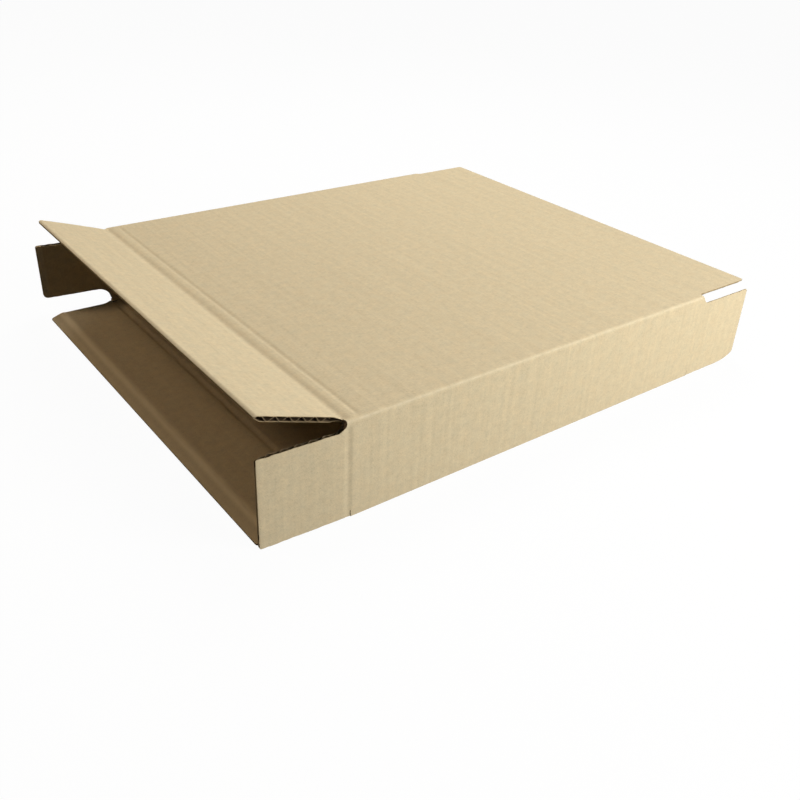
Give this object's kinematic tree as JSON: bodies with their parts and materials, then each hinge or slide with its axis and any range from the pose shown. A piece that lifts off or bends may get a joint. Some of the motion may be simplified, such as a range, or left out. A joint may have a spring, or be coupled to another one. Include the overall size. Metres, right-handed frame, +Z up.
{
  "type": "open cardboard box",
  "caption": "Shallow slotted corrugated case of brown kraft board, erected as an open-ended sleeve lying flat, with hinged flaps at both ends that fold in to shut it.",
  "frame": {"origin": "middle of the bottom panel's underside, on the table", "axes": "+X along the sleeve from its left end to its right, +Y from the front panel to the back, +Z up"},
  "size_m": [0.3251, 0.2722, 0.0636],
  "materials": {
    "kraft_board": "uncoated brown kraft liner, matte"
  },
  "bodies": {
    "sleeve": {"sleeve": "kraft_board"},
    "left_top_flap": {"left_top_flap": "kraft_board"},
    "left_bottom_flap": {"left_bottom_flap": "kraft_board"},
    "left_front_flap": {"left_front_flap": "kraft_board"},
    "left_back_flap": {"left_back_flap": "kraft_board"},
    "right_top_flap": {"right_top_flap": "kraft_board"},
    "right_bottom_flap": {"right_bottom_flap": "kraft_board"},
    "right_front_flap": {"right_front_flap": "kraft_board"},
    "right_back_flap": {"right_back_flap": "kraft_board"}
  },
  "joints": [
    {"name": "left_top_crease", "type": "hinge", "parent": "sleeve", "child": "left_top_flap", "pos_m": [-0.1217, 0.00105, 0.05], "axis": [0, 1, 0], "range_deg": [-109.5, 145.5]},
    {"name": "left_bottom_crease", "type": "hinge", "parent": "sleeve", "child": "left_bottom_flap", "pos_m": [-0.122, 0, 0.0029], "axis": [0, -1, 0], "range_deg": [-90, 90]},
    {"name": "left_front_crease", "type": "hinge", "parent": "sleeve", "child": "left_front_flap", "pos_m": [-0.1185, -0.134, 0.02395], "axis": [0, 0, 1], "range_deg": [-87.2, 167.8]},
    {"name": "left_back_crease", "type": "hinge", "parent": "sleeve", "child": "left_back_flap", "pos_m": [-0.1185, 0.134, 0.028], "axis": [0, 0, -1], "range_deg": [-95.5, 159.5]},
    {"name": "right_top_crease", "type": "hinge", "parent": "sleeve", "child": "right_top_flap", "pos_m": [0.1217, 0.00105, 0.05], "axis": [0, -1, 0], "range_deg": [-90, 165]},
    {"name": "right_bottom_crease", "type": "hinge", "parent": "sleeve", "child": "right_bottom_flap", "pos_m": [0.122, 0, 0.0029], "axis": [0, 1, 0], "range_deg": [-90, 90]},
    {"name": "right_front_crease", "type": "hinge", "parent": "sleeve", "child": "right_front_flap", "pos_m": [0.1185, -0.134, 0.02395], "axis": [0, 0, -1], "range_deg": [-90, 165]},
    {"name": "right_back_crease", "type": "hinge", "parent": "sleeve", "child": "right_back_flap", "pos_m": [0.1185, 0.134, 0.028], "axis": [0, 0, 1], "range_deg": [-90, 165]}
  ]
}
